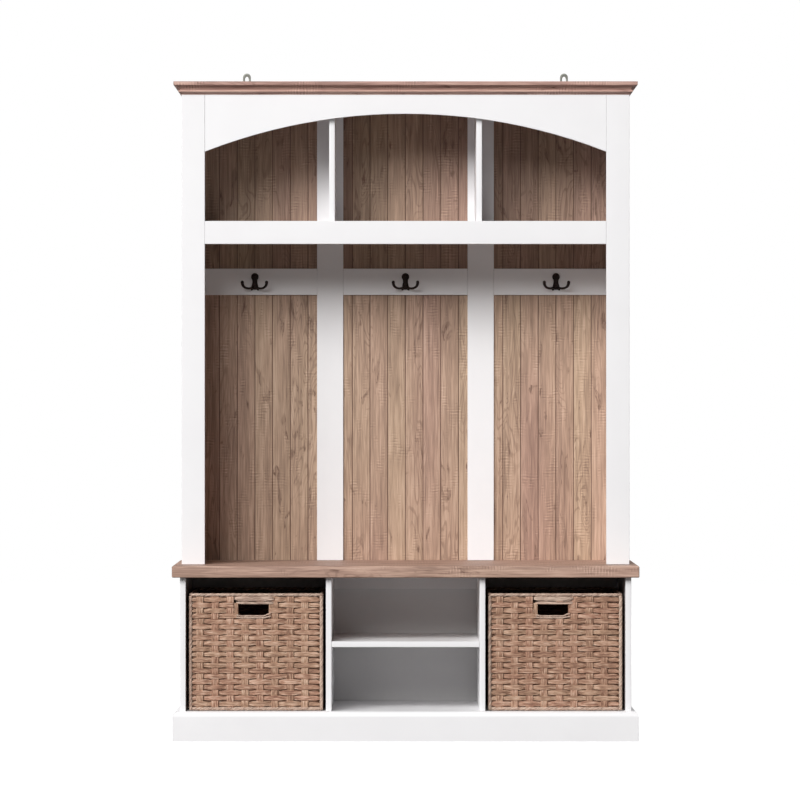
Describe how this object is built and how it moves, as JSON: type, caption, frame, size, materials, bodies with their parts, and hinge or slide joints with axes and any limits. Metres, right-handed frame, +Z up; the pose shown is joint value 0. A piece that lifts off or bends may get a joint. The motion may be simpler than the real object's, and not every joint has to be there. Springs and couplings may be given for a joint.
{
  "type": "hall tree with hooks",
  "caption": "Hall tree: a storage bench with woven pull-out baskets and a cubby, under a hutch with coat hooks, a shelf with compartments and an arched front.",
  "frame": {"origin": "on the floor, in the middle of the footprint", "axes": "+Z up, -Y towards the front of the bench, +X to the right seen from the front"},
  "size_m": [1.2006, 0.3998, 1.745],
  "materials": {
    "white_laminate": "satin white laminate on particle board",
    "oak_decor": "rough-sawn oak decor, matt",
    "oiled_bronze": "oil-rubbed dark bronze, satin",
    "zinc_plated_steel": "zinc plated",
    "woven_fibre": "flat woven plant fibre",
    "fibre_rope": "twisted plant fibre rope"
  },
  "bodies": {
    "cabinet": {"bench_side_left": "white_laminate", "bench_side_right": "white_laminate", "bench_divider_left": "white_laminate", "bench_divider_right": "white_laminate", "bench_bottom_panel": "white_laminate", "bench_middle_shelf": "white_laminate", "bench_back_panel": "white_laminate", "plinth_front": "white_laminate", "plinth_side_left": "white_laminate", "plinth_side_right": "white_laminate", "plinth_rear_rail": "white_laminate", "seat_rear_rail_left": "white_laminate", "seat_rear_rail_centre": "white_laminate", "seat_rear_rail_right": "white_laminate", "hutch_side_left": "white_laminate", "hutch_side_right": "white_laminate", "hutch_stile_left": "white_laminate", "hutch_stile_right": "white_laminate", "arch_valance": "white_laminate", "hutch_shelf": "white_laminate", "shelf_front_rail": "white_laminate", "upper_divider_left": "white_laminate", "upper_divider_right": "white_laminate", "mullion_left": "white_laminate", "mullion_right": "white_laminate", "hook_rail_left": "white_laminate", "hook_rail_centre": "white_laminate", "hook_rail_right": "white_laminate", "bench_top": "oak_decor", "hutch_top_panel": "oak_decor", "cornice_front": "oak_decor", "cornice_left": "oak_decor", "cornice_right": "oak_decor", "back_panel_lower_left": "oak_decor", "back_panel_lower_centre": "oak_decor", "back_panel_lower_right": "oak_decor", "back_panel_upper_left": "oak_decor", "back_panel_upper_centre": "oak_decor", "back_panel_upper_right": "oak_decor", "coat_hook_left": "oiled_bronze", "coat_hook_centre": "oiled_bronze", "coat_hook_right": "oiled_bronze", "hook_screw_left_upper": "oiled_bronze", "hook_screw_left_lower": "oiled_bronze", "hook_screw_centre_upper": "oiled_bronze", "hook_screw_centre_lower": "oiled_bronze", "hook_screw_right_upper": "oiled_bronze", "hook_screw_right_lower": "oiled_bronze", "wall_hanger_left": "zinc_plated_steel", "wall_hanger_right": "zinc_plated_steel", "hanger_screw_left_a": "zinc_plated_steel", "hanger_screw_left_b": "zinc_plated_steel", "hanger_screw_right_a": "zinc_plated_steel", "hanger_screw_right_b": "zinc_plated_steel"},
    "basket_left": {"basket_left_body": "woven_fibre", "basket_left_rim": "fibre_rope", "basket_left_wire_frame": "zinc_plated_steel"},
    "basket_right": {"basket_right_body": "woven_fibre", "basket_right_rim": "fibre_rope", "basket_right_wire_frame": "zinc_plated_steel"}
  },
  "joints": [
    {"name": "basket_left_slide", "type": "slide", "parent": "cabinet", "child": "basket_left", "axis": [0, -1, 0], "range_m": [0, 0.4]},
    {"name": "basket_right_slide", "type": "slide", "parent": "cabinet", "child": "basket_right", "axis": [0, -1, 0], "range_m": [0, 0.4]}
  ]
}
